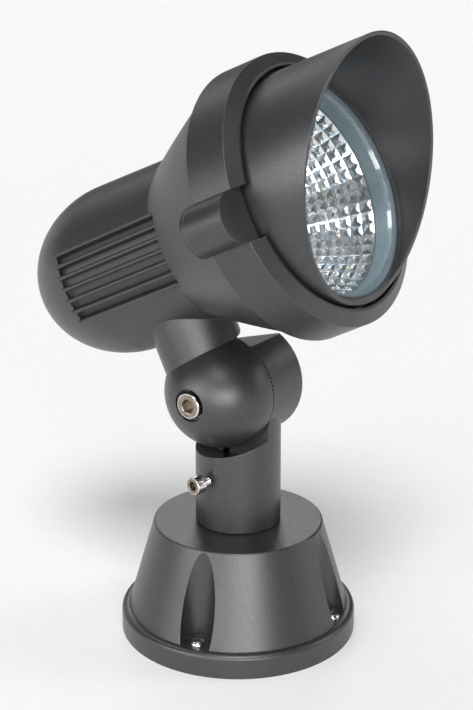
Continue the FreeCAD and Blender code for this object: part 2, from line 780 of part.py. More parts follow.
def facet_plug():
    """Many-sided inside of the reflector: rings of corners, each turned half a facet from the last."""
    rings = []
    for k in range(facet_rings + 1):
        share = (k / facet_rings) ** 1.4
        station = holder_front_station + share * (reflector_mouth_station - holder_front_station)
        radius = bowl_radius(station)
        angles = [2 * math.pi * (j + 0.5 * (k % 2)) / facets_round for j in range(facets_round)]
        rings.append([V(radius * math.cos(a), radius * math.sin(a), station) for a in angles])
    above = [V(p.x, p.y, p.z + 2 * reflector_flange_thickness) for p in rings[-1]]
    below = [V(p.x, p.y, p.z - reflector_flange_thickness) for p in rings[0]]
    faces = [above, below]
    for k in range(facet_rings):
        low, high = rings[k], rings[k + 1]
        for j in range(facets_round):
            following = (j + 1) % facets_round
            if k % 2:
                faces.append((low[j], low[following], high[following]))
                faces.append((low[j], high[following], high[j]))
            else:
                faces.append((low[j], low[following], high[j]))
                faces.append((low[following], high[following], high[j]))
    for end, ring in ((above, rings[-1]), (below, rings[0])):
        for j in range(facets_round):
            following = (j + 1) % facets_round
            faces.append((end[j], end[following], ring[following], ring[j]))
    return solid_of(faces)


def reflector():
    steps = 6
    height = reflector_mouth_station - holder_front_station
    back = []
    for i in range(steps + 1):
        station = holder_front_station + height * (i / steps) ** 1.4
        back.append(V(bowl_radius(station) + reflector_wall, 0, station))
    curve = Part.BSplineCurve()
    curve.interpolate(back)
    bowl = turned((0, holder_front_station), (back[0].x, holder_front_station), curve.toShape(),
                  (0, reflector_mouth_station))
    flange = upright(gasket_radius, reflector_mouth_station, gasket_station)
    return bowl.fuse(flange).cut(facet_plug())


# --- light source and driver -----------------------------------------------------------
def lead_places():
    return [(side * lead_spacing / 2, lead_height) for side in (-1, 1)]


def heat_spreader():
    disc = upright(rear_cavity_radius - free_fit, spreader_station, led_station)
    screw_holes = round_the_axis(upright(small_screw_radius + free_fit, spreader_station - 1,
                                         led_station + 1, spreader_screw_circle),
                                 spreader_screw_count, 90.0)
    lead_holes = [upright(lead_radius + free_fit, spreader_station - 1, led_station + 1, x, y)
                  for x, y in lead_places()]
    return disc.cut(screw_holes + lead_holes)


def spreader_screws():
    screw = socket_screw(small_screw_radius, spreader_screw_length, small_screw_head_radius,
                         small_screw_head_length, small_screw_key)
    screw.rotate(NOWHERE, X_AXIS, 180)
    screw.translate(V(spreader_screw_circle, 0, led_station))
    return Part.makeCompound(round_the_axis(screw, spreader_screw_count, 90.0))


def led_board():
    return block(led_side, led_side, led_thickness, V(0, 0, led_station))


def led_emitter():
    return upright(emitter_radius, led_station + led_thickness,
                   led_station + led_thickness + emitter_thickness)


def led_holder():
    ring = upright(holder_radius, led_station, holder_front_station)
    pocket = block(led_side + 2 * free_fit, led_side + 2 * free_fit, led_thickness, V(0, 0, led_station))
    return ring.cut([pocket, upright(reflector_throat_radius, led_station, holder_front_station)])


def led_leads():
    front_of_driver = web_station - driver_gap
    return Part.makeCompound([upright(lead_radius, front_of_driver, led_station, x, y)
                              for x, y in lead_places()])


def driver():
    middle = lead_height - driver_height / 2 + 2 * lead_radius
    return block(driver_width, driver_height, driver_length, V(0, middle, driver_station))


def driver_bracket():
    shelf_top = lead_height - driver_height + 2 * lead_radius
    shelf = Part.makeBox(bracket_width, bracket_thickness, driver_length + driver_gap,
                         V(-bracket_width / 2, shelf_top - bracket_thickness, driver_station))
    foot_length = web_opening_radius + bracket_lap + shelf_top
    foot = Part.makeBox(bracket_width, foot_length, bracket_thickness,
                        V(-bracket_width / 2, shelf_top - foot_length, web_station - bracket_thickness))
    return joined([shelf, foot])


# --- write every node ----------------------------------------------------------------------
upright_nodes = [base_canopy, base_plate, base_gasket, canopy_screws, cable_grommet, terminal_block,
                 earth_screw, base_spigot, spigot_o_ring, spigot_washer, spigot_nut, post, set_screw,
                 pivot_screw, pivot_washer, pivot_nut]
lamp_nodes = [lamp_housing, front_ring, ring_screws, housing_seal, hood, front_glass, glass_gasket,
              reflector, heat_spreader, spreader_screws, led_board, led_emitter, led_holder,
              led_leads, driver, driver_bracket]

os.makedirs("parts", exist_ok=True)
for node in upright_nodes + lamp_nodes:
    shape = node()
    if node in lamp_nodes:
        shape = in_place(shape)
    shape.exportStep("parts/" + node.__name__ + ".step")
    print(node.__name__, len(shape.Solids), round(shape.Volume, 1), shape.isValid())
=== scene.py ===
import bpy
from math import cos, pi, radians, sin, sqrt
from mathutils import Matrix, Vector


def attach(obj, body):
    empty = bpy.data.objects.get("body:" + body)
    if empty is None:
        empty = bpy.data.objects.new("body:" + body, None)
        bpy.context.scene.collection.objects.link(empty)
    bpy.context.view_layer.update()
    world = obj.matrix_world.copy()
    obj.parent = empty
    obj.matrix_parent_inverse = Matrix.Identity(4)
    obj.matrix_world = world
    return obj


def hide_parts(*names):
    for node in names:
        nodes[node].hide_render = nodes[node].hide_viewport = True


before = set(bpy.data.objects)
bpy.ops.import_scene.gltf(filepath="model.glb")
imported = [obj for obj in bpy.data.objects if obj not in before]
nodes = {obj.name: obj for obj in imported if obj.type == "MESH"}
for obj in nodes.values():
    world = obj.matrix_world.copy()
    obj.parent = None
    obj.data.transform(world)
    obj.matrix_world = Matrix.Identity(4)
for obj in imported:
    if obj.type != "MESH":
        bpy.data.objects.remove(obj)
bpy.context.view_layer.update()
mm = 0.001

# the lamp's own frame: z forward along its axis, y up, its origin straight above the pivot when level
headTilt = radians(26)
pivotPoint = Vector((0, 3.5, 98.8)) * mm
axisAbovePivot = 56.4 * mm
lampTurn = Matrix.Rotation(pi / 2 - headTilt, 4, "X")
lampFrame = Matrix.Translation(pivotPoint) @ lampTurn @ Matrix.Translation((0, axisAbovePivot, 0))
mergeNear = 1e-6        # points closer than this are one, and places are compared to it
print("frame loaded:", len(nodes), "nodes")


# small helpers for shader trees

def addNode(tree, kind, inputs=None, **settings):
    node = tree.nodes.new(kind)
    for name, value in settings.items():
        setattr(node, name, value)
    for key, value in (inputs or {}).items():
        if isinstance(value, bpy.types.NodeSocket):
            tree.links.new(value, node.inputs[key])
        else:
            node.inputs[key].default_value = value
    return node


def startMaterial(name):
    material = bpy.data.materials.new(name)
    material.use_nodes = True
    tree = material.node_tree
    place = addNode(tree, "ShaderNodeTexCoord").outputs["Object"]
    return material, tree, tree.nodes["Principled BSDF"], place


def noise(tree, place, scale, detail=2.0, roughness=0.5):
    return addNode(tree, "ShaderNodeTexNoise", {"Vector": place, "Scale": scale, "Detail": detail,
                                                "Roughness": roughness}).outputs["Fac"]


def spread(tree, value, low, high, newLow, newHigh):
    return addNode(tree, "ShaderNodeMapRange", {"Value": value, "From Min": low, "From Max": high,
                                                "To Min": newLow, "To Max": newHigh}).outputs["Result"]


def mixColours(tree, factor, first, second):
    mix = addNode(tree, "ShaderNodeMix", data_type="RGBA")
    for socket, value in ((mix.inputs[0], factor), (mix.inputs[6], first), (mix.inputs[7], second)):
        if isinstance(value, bpy.types.NodeSocket):
            tree.links.new(value, socket)
        else:
            socket.default_value = value
    return mix.outputs[2]


def roundedNormal(tree, radius):
    return addNode(tree, "ShaderNodeBevel", {"Radius": radius}, samples=4).outputs["Normal"]


def bump(tree, height, strength, distance, normal=None):
    inputs = {"Height": height, "Strength": strength, "Distance": distance}
    if normal is not None:
        inputs["Normal"] = normal
    return addNode(tree, "ShaderNodeBump", inputs).outputs["Normal"]


# 0 on a face, rising to 1 where the rounded edge turns away from it
def edgeShare(tree, normal):
    flat = addNode(tree, "ShaderNodeNewGeometry").outputs["Normal"]
    turn = addNode(tree, "ShaderNodeVectorMath", {0: normal, 1: flat}, operation="DOT_PRODUCT")
    return spread(tree, turn.outputs["Value"], 0.99, 0.75, 0.0, 1.0)


# finishes

def powderCoat(name, coat):
    material, tree, shader, place = startMaterial(name)
    grain = noise(tree, place, coat["grainsPerMetre"], 3.0, 0.62)
    blotch = noise(tree, place, coat["blotchesPerMetre"], 2.0)
    flakes = addNode(tree, "ShaderNodeTexVoronoi", {"Vector": place, "Scale": coat["flakesPerMetre"]})
    chosen = addNode(tree, "ShaderNodeSeparateColor", {"Color": flakes.outputs["Color"]}).outputs["Red"]
    rare = spread(tree, chosen, 0.8, 0.97, 0.0, 1.0)
    near = spread(tree, flakes.outputs["Distance"], 0.45, 0.1, 0.0, coat["flakeShine"])
    flake = addNode(tree, "ShaderNodeMath", {0: rare, 1: near}, operation="MULTIPLY").outputs[0]
    rounded = roundedNormal(tree, coat["edgeRadius"])
    tone = mixColours(tree, spread(tree, grain, 0.35, 0.68, 0.0, 1.0), coat["dark"], coat["light"])
    tone = mixColours(tree, spread(tree, blotch, 0.35, 0.65, 0.0, coat["blotchShare"]), tone, coat["dark"])
    tone = mixColours(tree, flake, tone, coat["flake"])
    # edges painted lighter, toward the flake tone: partly coat worn thin at the edges, partly painted
    # highlight where the edges catch the light
    edge = addNode(tree, "ShaderNodeMath", {0: edgeShare(tree, rounded), 1: coat["edgeWearAndHighlight"]},
                   operation="MULTIPLY").outputs[0]
    tree.links.new(mixColours(tree, edge, tone, coat["flake"]), shader.inputs["Base Color"])
    tree.links.new(spread(tree, grain, 0.3, 0.7, coat["roughness"] + 0.09, coat["roughness"] - 0.06),
                   shader.inputs["Roughness"])
    relief = bump(tree, grain, coat["bumpStrength"], coat["grainDepth"], rounded)
    tree.links.new(relief, shader.inputs["Normal"])
    shader.inputs["Specular IOR Level"].default_value = coat["shine"]
    return material


def metal(name, look):
    material, tree, shader, place = startMaterial(name)
    stretched = addNode(tree, "ShaderNodeMapping", {"Vector": place, "Scale": look["grainScale"]}).outputs[0]
    streak = noise(tree, stretched, 1.0, 4.0, 0.6)
    cloud = noise(tree, place, look["cloudsPerMetre"], 3.0, 0.55)
    rounded = roundedNormal(tree, look["edgeRadius"])
    tone = mixColours(tree, spread(tree, streak, 0.3, 0.7, 0.0, 1.0), look["dark"], look["light"])
    # clouds toward the stain tone: real stains on bare steel, and more painted shade inside the hex sockets
    tone = mixColours(tree, spread(tree, cloud, 0.45, 0.75, 0.0, look["stainAndShadeShare"]), tone, look["stainAndShadeTone"])
    tree.links.new(tone, shader.inputs["Base Color"])
    tree.links.new(spread(tree, streak, 0.3, 0.7, look["roughness"] - 0.04, look["roughness"] + 0.07),
                   shader.inputs["Roughness"])
    shader.inputs["Metallic"].default_value = 1.0
    relief = bump(tree, streak, look["bumpStrength"], look["streakDepth"], rounded)
    tree.links.new(relief, shader.inputs["Normal"])
    return material


def moulded(name, look):
    material, tree, shader, place = startMaterial(name)
    grain = noise(tree, place, look["grainsPerMetre"], 3.0, 0.6)
    cloud = noise(tree, place, 60.0, 2.0)
    tone = mixColours(tree, spread(tree, grain, 0.35, 0.7, 0.0, 1.0), look["dark"], look["light"])
    tone = mixColours(tree, spread(tree, cloud, 0.4, 0.7, 0.0, 0.4), tone, look["dark"])
    tree.links.new(tone, shader.inputs["Base Color"])
    tree.links.new(spread(tree, grain, 0.3, 0.7, look["roughness"] - 0.05, look["roughness"] + 0.08),
                   shader.inputs["Roughness"])
    tree.links.new(bump(tree, grain, look["bumpStrength"], 0.1 * mm), shader.inputs["Normal"])
    return material


coatLook = {
    "dark": (0.011, 0.0113, 0.0128, 1), "light": (0.025, 0.0256, 0.029, 1), "flake": (0.26, 0.265, 0.285, 1),
    "grainsPerMetre": 2300.0, "grainDepth": 0.25 * mm, "blotchesPerMetre": 38.0, "blotchShare": 0.35,
    "flakesPerMetre": 2600.0, "flakeShine": 0.4,
    "roughness": 0.35, "bumpStrength": 0.24, "edgeRadius": 0.45 * mm, "edgeWearAndHighlight": 0.2, "shine": 0.85,
}
# the hood's rim edges get more of the painted highlight and wear
hoodLook = dict(coatLook, edgeRadius=0.35 * mm, edgeWearAndHighlight=0.55)
steelLook = {
    "dark": (0.66, 0.64, 0.61, 1), "light": (0.84, 0.82, 0.79, 1), "stainAndShadeTone": (0.5, 0.43, 0.34, 1),
    "grainScale": (900.0, 900.0, 5200.0), "stainAndShadeShare": 0.2, "roughness": 0.16, "bumpStrength": 0.12,
    "edgeRadius": 0.12 * mm, "cloudsPerMetre": 420.0, "streakDepth": 0.05 * mm,
}
# the hex sockets take a darker, browner steel: painted shade of the recess
socketShadeLook = dict(steelLook, dark=(0.2, 0.17, 0.14, 1), light=(0.42, 0.37, 0.31, 1),
                  stainAndShadeTone=(0.1, 0.085, 0.07, 1), stainAndShadeShare=0.6, roughness=0.3, bumpStrength=0.3)
zincLook = dict(steelLook, dark=(0.42, 0.43, 0.44, 1), light=(0.6, 0.61, 0.63, 1), roughness=0.38)
aluminiumLook = dict(steelLook, dark=(0.6, 0.6, 0.61, 1), light=(0.78, 0.78, 0.79, 1), stainAndShadeShare=0.1,
                     grainScale=(500.0, 500.0, 2400.0), roughness=0.3)

housingCoat = powderCoat("housingCoat", coatLook)
hoodCoat = powderCoat("hoodCoat", hoodLook)
baseCoat = powderCoat("baseCoat", dict(coatLook, grainsPerMetre=2100.0))
stainless = metal("stainless", steelLook)
socketShadeSteel = metal("socketShadeSteel", socketShadeLook)
zincSteel = metal("zincSteel", zincLook)
turnedAluminium = metal("turnedAluminium", aluminiumLook)
blackRubber = moulded("blackRubber", {
    "dark": (0.012, 0.012, 0.013, 1), "light": (0.03, 0.03, 0.032, 1),
    "grainsPerMetre": 1400.0, "roughness": 0.62, "bumpStrength": 0.3})
whitePlastic = moulded("whitePlastic", {
    "dark": (0.66, 0.66, 0.64, 1), "light": (0.8, 0.8, 0.78, 1),
    "grainsPerMetre": 900.0, "roughness": 0.42, "bumpStrength": 0.12})
terminalPlastic = moulded("terminalPlastic", {
    "dark": (0.5, 0.5, 0.47, 1), "light": (0.64, 0.64, 0.6, 1),
    "grainsPerMetre": 700.0, "roughness": 0.5, "bumpStrength": 0.15})
ledCeramic = moulded("ledCeramic", {
    "dark": (0.78, 0.78, 0.76, 1), "light": (0.88, 0.88, 0.87, 1),
    "grainsPerMetre": 3000.0, "roughness": 0.55, "bumpStrength": 0.1})
driverCase = moulded("driverCase", {
    "dark": (0.05, 0.052, 0.055, 1), "light": (0.09, 0.093, 0.1, 1),
    "grainsPerMetre": 800.0, "roughness": 0.55, "bumpStrength": 0.25})
leadSleeve = moulded("leadSleeve", {
    "dark": (0.42, 0.03, 0.025, 1), "light": (0.55, 0.05, 0.04, 1),
    "grainsPerMetre": 1100.0, "roughness": 0.4, "bumpStrength": 0.15})


def phosphorGel(name, look):
    material, tree, shader, place = startMaterial(name)
    cells = addNode(tree, "ShaderNodeTexVoronoi", {"Vector": place, "Scale": look["dotsPerMetre"]})
    chips = spread(tree, cells.outputs["Distance"], 0.1, 0.55, 1.0, 0.0)
    tree.links.new(mixColours(tree, chips, look["gel"], look["chip"]), shader.inputs["Base Color"])
    tree.links.new(spread(tree, chips, 0.0, 1.0, 0.35, 0.22), shader.inputs["Roughness"])
    tree.links.new(bump(tree, cells.outputs["Distance"], 0.3, 0.1 * mm), shader.inputs["Normal"])
    shader.inputs["Subsurface Weight"].default_value = 0.3
    shader.inputs["Subsurface Radius"].default_value = (0.001, 0.0006, 0.0002)
    return material


# vapour-coated plastic mirror, hazier here and there, with a faint tint that changes from place to place
def brightReflector(name, look):
    material, tree, shader, place = startMaterial(name)
    haze = noise(tree, place, 260.0, 3.0, 0.6)
    cool = spread(tree, noise(tree, place, 310.0, 1.0), 0.5, 0.62, 0.0, look["coolShare"])
    warm = spread(tree, noise(tree, place, 420.0, 1.0), 0.58, 0.68, 0.0, look["warmShare"])
    tone = mixColours(tree, warm, mixColours(tree, cool, look["plain"], look["cool"]), look["warm"])
    tree.links.new(tone, shader.inputs["Base Color"])
    tree.links.new(spread(tree, haze, 0.35, 0.7, look["roughness"] - 0.03, look["roughness"] + 0.05),
                   shader.inputs["Roughness"])
    tree.links.new(bump(tree, haze, 0.05, 0.2 * mm), shader.inputs["Normal"])
    shader.inputs["Metallic"].default_value = 1.0
    return material


def clearGlass(name, look):
    material, tree, shader, place = startMaterial(name)
    dust = noise(tree, place, 900.0, 4.0, 0.7)
    tree.links.new(mixColours(tree, spread(tree, dust, 0.5, 0.75, 0.0, 0.5), look["tint"], look["dust"]),
                   shader.inputs["Base Color"])
    tree.links.new(spread(tree, dust, 0.45, 0.8, 0.0, 0.05), shader.inputs["Roughness"])
    shader.inputs["Transmission Weight"].default_value = 1.0
    shader.inputs["IOR"].default_value = look["ior"]
    # the studio lamps shine straight through it
    shadow = addNode(tree, "ShaderNodeLightPath").outputs["Is Shadow Ray"]
    lets = addNode(tree, "ShaderNodeBsdfTransparent", {"Color": look["shade"]}).outputs[0]
    pane = addNode(tree, "ShaderNodeMixShader", {0: shadow, 1: shader.outputs[0], 2: lets}).outputs[0]
    tree.links.new(pane, tree.nodes["Material Output"].inputs["Surface"])
    return material


def softSilicone(name, look):
    material, tree, shader, place = startMaterial(name)
    cloud = noise(tree, place, 160.0, 3.0, 0.5)
    tree.links.new(mixColours(tree, cloud, look["dark"], look["light"]), shader.inputs["Base Color"])
    tree.links.new(spread(tree, cloud, 0.3, 0.7, 0.6, 0.7), shader.inputs["Roughness"])
    shader.inputs["Specular IOR Level"].default_value = 0.3
    tree.links.new(bump(tree, noise(tree, place, 1500.0), 0.1, 0.05 * mm), shader.inputs["Normal"])
    shader.inputs["Subsurface Weight"].default_value = 0.5
    shader.inputs["Subsurface Radius"].default_value = (0.0015, 0.002, 0.0024)
    return material


phosphor = phosphorGel("phosphor", {"gel": (0.82, 0.62, 0.08, 1), "chip": (0.9, 0.76, 0.25, 1),
                                    "dotsPerMetre": 900.0})
mirrorReflector = brightReflector("mirrorReflector", {
    "plain": (0.93, 0.93, 0.93, 1), "cool": (0.5, 0.64, 0.82, 1), "warm": (0.86, 0.6, 0.42, 1),
    "coolShare": 0.55, "warmShare": 0.4, "roughness": 0.13})
lampGlass = clearGlass("lampGlass", {"tint": (0.96, 0.985, 0.985, 1), "dust": (0.9, 0.94, 0.95, 1),
                                     "shade": (0.9, 0.92, 0.92, 1), "ior": 1.5})
greySilicone = softSilicone("greySilicone", {"dark": (0.1, 0.135, 0.155, 1), "light": (0.16, 0.205, 0.23, 1)})
print("finishes made:", len(bpy.data.materials))


# the CAD nodes and their finishes

nodeFinish = {
    "base_canopy": baseCoat, "base_plate": zincSteel, "base_gasket": blackRubber,
    "cable_grommet": blackRubber, "terminal_block": terminalPlastic, "earth_screw": zincSteel,
    "base_spigot": turnedAluminium, "spigot_o_ring": blackRubber, "spigot_washer": zincSteel,
    "spigot_nut": zincSteel, "post": housingCoat, "pivot_washer": stainless, "pivot_nut": zincSteel,
    "lamp_housing": housingCoat, "front_ring": housingCoat, "housing_seal": blackRubber,
    "hood": hoodCoat, "front_glass": lampGlass, "glass_gasket": greySilicone,
    "heat_spreader": turnedAluminium, "spreader_screws": zincSteel, "led_board": ledCeramic,
    "led_emitter": phosphor, "led_holder": whitePlastic, "led_leads": leadSleeve,
    "driver": driverCase, "driver_bracket": zincSteel,
    "canopy_screws": stainless, "set_screw": stainless, "pivot_screw": stainless,
    "ring_screws": stainless, "reflector": mirrorReflector,
}
for nodeName, finish in nodeFinish.items():
    mesh = nodes[nodeName].data
    mesh.materials.clear()
    mesh.materials.append(finish)
print("CAD nodes dressed:", len(nodeFinish))


# modelling helpers

def pickNothing():
    if bpy.context.object and bpy.context.object.mode != "OBJECT":
        bpy.ops.object.mode_set(mode="OBJECT")
    bpy.ops.object.select_all(action="DESELECT")


def startPiece(name):
    piece = bpy.context.object      # the primitive just added
    piece.name = name
    piece.data.name = name
    return piece


def pickFaces(piece, test):
    bpy.ops.object.mode_set(mode="EDIT")
    bpy.ops.mesh.select_mode(type="FACE")
    bpy.ops.mesh.select_all(action="DESELECT")
    bpy.ops.object.mode_set(mode="OBJECT")
    for face in piece.data.polygons:
        face.select = test(face)
    bpy.ops.object.mode_set(mode="EDIT")


def pickEdges(piece, test):
    bpy.ops.object.mode_set(mode="EDIT")
    bpy.ops.mesh.select_mode(type="EDGE")
    bpy.ops.mesh.select_all(action="DESELECT")
    bpy.ops.object.mode_set(mode="OBJECT")
    points = piece.data.vertices
    for edge in piece.data.edges:
        edge.select = test(points[edge.vertices[0]].co, points[edge.vertices[1]].co)
    bpy.ops.object.mode_set(mode="EDIT")


def cutAway(piece, tool, operation="DIFFERENCE"):
    pickNothing()
    bpy.context.view_layer.objects.active = piece
    cut = piece.modifiers.new("cut", "BOOLEAN")
    cut.operation = operation
    cut.object = tool
    cut.solver = "EXACT"
    bpy.ops.object.modifier_apply(modifier=cut.name)
    bpy.data.objects.remove(tool)


# copies of a piece, each with its own mesh, with the piece itself as the first
def repeatPiece(piece, count):
    pieces = [piece]
    for index in range(count - 1):
        twin = piece.copy()
        twin.data = piece.data.copy()
        bpy.context.scene.collection.objects.link(twin)
        pieces.append(twin)
    return pieces


def joinPieces(pieces, name):
    pickNothing()
    for piece in pieces:
        piece.select_set(True)
    bpy.context.view_layer.objects.active = pieces[0]
    bpy.ops.object.join()
    return startPiece(name)


# moves the mesh itself, so that the object stays at the origin
def placePiece(piece, place):
    pickNothing()
    piece.select_set(True)
    bpy.context.view_layer.objects.active = piece
    piece.matrix_world = place @ piece.matrix_world
    bpy.ops.object.transform_apply(location=True, rotation=True, scale=True)


# a ring drawn out of one circle along its closed outline, a row of (radius, height)
def turnRing(name, outline, corners):
    pickNothing()
    bpy.ops.mesh.primitive_circle_add(vertices=corners, radius=outline[0][0], location=(0, 0, outline[0][1]))
    ring = startPiece(name)
    bpy.ops.object.transform_apply(location=True, rotation=True, scale=True)
    bpy.ops.object.mode_set(mode="EDIT")
    bpy.ops.mesh.select_all(action="SELECT")
    for here, there in zip(outline, outline[1:] + outline[:1]):
        bpy.ops.mesh.extrude_region_move(TRANSFORM_OT_translate={"value": (0, 0, there[1] - here[1])})
        bpy.ops.transform.resize(value=(there[0] / here[0], there[0] / here[0], 1))
    bpy.ops.mesh.select_all(action="SELECT")
    bpy.ops.mesh.remove_doubles(threshold=mergeNear)
    bpy.ops.mesh.normals_make_consistent(inside=False)
    bpy.ops.object.mode_set(mode="OBJECT")
    return ring


def finishPiece(piece, body, finish, angle=32):
    pickNothing()
    piece.select_set(True)
    bpy.context.view_layer.objects.active = piece
    bpy.ops.object.shade_smooth_by_angle(angle=radians(angle))
    if not piece.data.materials:
        piece.data.materials.append(finish)
    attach(piece, body)


# screws: the face of the head looks along +Z, and the seat of the head is at the origin

def screwHead(screw):
    radius, height, key = screw["headRadius"], screw["headHeight"], screw["key"]
    bpy.ops.mesh.primitive_cylinder_add(vertices=64, radius=radius, depth=height, location=(0, 0, height / 2))
    head = startPiece("screwHead")
    pickEdges(head, lambda one, other: min(one.z, other.z) > height * 0.49)
    bpy.ops.mesh.bevel(offset=screw["rimBevel"], segments=screw["rimSegments"], profile=screw["rimProfile"])
    bpy.ops.object.mode_set(mode="OBJECT")
    bpy.ops.mesh.primitive_cylinder_add(vertices=6, radius=key / sqrt(3), depth=2 * screw["keyDepth"],
                                        location=(0, 0, height))
    cutAway(head, bpy.context.object)
    # a wide cone takes the corners off the mouth of the socket
    coneRadius, coneDepth, coneSink = key * 0.66, key * 0.4, key * 0.13
    bpy.ops.mesh.primitive_cone_add(vertices=48, radius1=0, radius2=coneRadius, depth=coneDepth,
                                    location=(0, 0, height - coneSink))
    cutAway(head, bpy.context.object)
    head.data.materials.clear()
    head.data.materials.append(stainless)
    head.data.materials.append(socketShadeSteel)
    # faces inside the socket take the darker steel, painted shade of the recess
    for face in head.data.polygons:
        shadedSocketFace = face.center.xy.length < key * 0.53 and face.center.z < height - 0.1 * mm
        face.material_index = 1 if shadedSocketFace else 0
    return head


# plain core with the thread wound on it
def screwShank(screw):
    radius, length, pitch = screw["radius"], screw["length"], screw["pitch"]
    core = radius - 0.55 * pitch
    ridgeRadius = 0.52 * pitch
    ridgeStart = Vector((core + 0.03 * pitch, 0, -length + 0.7 * pitch))
    bpy.ops.mesh.primitive_cylinder_add(vertices=32, radius=core, depth=length, location=(0, 0, -length / 2))
    shank = startPiece("screwShank")
    pickEdges(shank, lambda one, other: max(one.z, other.z) < -length * 0.49)
    bpy.ops.mesh.bevel(offset=0.25 * core, segments=1)
    bpy.ops.object.mode_set(mode="OBJECT")
    turns = int(screw["threadLength"] / pitch)
    bpy.ops.mesh.primitive_circle_add(vertices=4, radius=ridgeRadius, rotation=(pi / 2, 0, 0),
                                      location=ridgeStart)
    ridge = startPiece("screwRidge")
    bpy.ops.object.transform_apply(location=True, rotation=True, scale=True)
    wind = ridge.modifiers.new("wind", "SCREW")
    wind.axis = "Z"
    wind.angle = 2 * pi
    wind.screw_offset = pitch
    wind.iterations = turns
    wind.steps = wind.render_steps = 28
    wind.use_merge_vertices = False
    bpy.ops.object.modifier_apply(modifier=wind.name)
    bpy.ops.object.mode_set(mode="EDIT")
    bpy.ops.mesh.select_all(action="SELECT")
    bpy.ops.mesh.remove_doubles(threshold=mergeNear)
    bpy.ops.mesh.select_all(action="DESELECT")
    bpy.ops.mesh.select_mode(type="EDGE")
    bpy.ops.mesh.select_non_manifold()
    bpy.ops.mesh.edge_face_add()
    bpy.ops.mesh.select_all(action="SELECT")
    bpy.ops.mesh.normals_make_consistent(inside=False)
    bpy.ops.object.mode_set(mode="OBJECT")
    for part in (shank, ridge):
        part.data.materials.append(stainless)
    return [shank, ridge]


def socketScrew(screw, name):
    pickNothing()
    return joinPieces([screwHead(screw)] + screwShank(screw), name)


canopyScrew = {
    "headRadius": 2.85 * mm, "headHeight": 1.7 * mm,
    "rimBevel": 1.25 * mm, "rimSegments": 6, "rimProfile": 0.5,
    "key": 2.0 * mm, "keyDepth": 1.1 * mm, "radius": 1.5 * mm, "length": 8.7 * mm, "pitch": 0.5 * mm,
    "threadLength": 6.0 * mm, "circleRadius": 39.6 * mm, "seatHeight": 9.5 * mm, "firstAngle": radians(12.5),
}
canopyHeads = repeatPiece(socketScrew(canopyScrew, "canopyScrew"), 4)
for index, oneScrew in enumerate(canopyHeads):
    turn = Matrix.Rotation(canopyScrew["firstAngle"] + index * pi / 2, 4, "Z")
    seat = Matrix.Translation((canopyScrew["circleRadius"], 0, canopyScrew["seatHeight"]))
    placePiece(oneScrew, turn @ seat)
canopyScrews = joinPieces(canopyHeads, "canopyScrews")
finishPiece(canopyScrews, "base", stainless)
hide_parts("canopy_screws")

setScrew = {
    "headRadius": 3.5 * mm, "headHeight": 4.0 * mm,
    "rimBevel": 0.45 * mm, "rimSegments": 3, "rimProfile": 0.6,
    "key": 3.5 * mm, "keyDepth": 2.6 * mm, "radius": 2.0 * mm, "length": 6.8 * mm, "pitch": 0.7 * mm,
    "threadLength": 5.8 * mm, "seatRadius": 19.8 * mm, "height": 65.2 * mm, "turn": radians(-11),
}
lockingScrew = socketScrew(setScrew, "lockingScrew")
turn = Matrix.Rotation(setScrew["turn"], 4, "Z")
seat = Matrix.Translation((-setScrew["seatRadius"], 0, setScrew["height"]))
placePiece(lockingScrew, turn @ seat @ Matrix.Rotation(-pi / 2, 4, "Y"))
finishPiece(lockingScrew, "set_screw", stainless)
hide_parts("set_screw")

pivotScrew = {
    "headRadius": 5.0 * mm, "headHeight": 6.0 * mm, "rimBevel": 0.6 * mm, "rimSegments": 3, "rimProfile": 0.6,
    "key": 5.0 * mm, "keyDepth": 3.2 * mm, "radius": 3.0 * mm, "length": 39.27 * mm, "pitch": 1.0 * mm,
    "threadLength": 20.0 * mm, "seatSide": -21.374 * mm,
}
clampScrew = socketScrew(pivotScrew, "clampScrew")
seat = Matrix.Translation((pivotScrew["seatSide"], pivotPoint.y, pivotPoint.z))
placePiece(clampScrew, seat @ Matrix.Rotation(-pi / 2, 4, "Y"))
finishPiece(clampScrew, "post", stainless)
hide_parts("pivot_screw")

ringScrew = {
    "headRadius": 3.5 * mm, "headHeight": 1.8 * mm, "rimBevel": 0.4 * mm, "rimSegments": 3, "rimProfile": 0.6,
    "key": 2.5 * mm, "keyDepth": 1.1 * mm, "radius": 2.0 * mm, "length": 14.0 * mm, "pitch": 0.7 * mm,
    "threadLength": 12.0 * mm, "side": 54.2 * mm, "station": 53.2 * mm,
}
ringHeads = repeatPiece(socketScrew(ringScrew, "ringScrew"), 2)
for side, oneScrew in zip((-1, 1), ringHeads):
    seat = Matrix.Translation((side * ringScrew["side"], 0, ringScrew["station"]))
    placePiece(oneScrew, lampFrame @ seat @ Matrix.Rotation(pi, 4, "X"))
ringScrews = joinPieces(ringHeads, "ringScrews")
finishPiece(ringScrews, "head", stainless)
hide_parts("ring_screws")
print("screws cut and threaded")

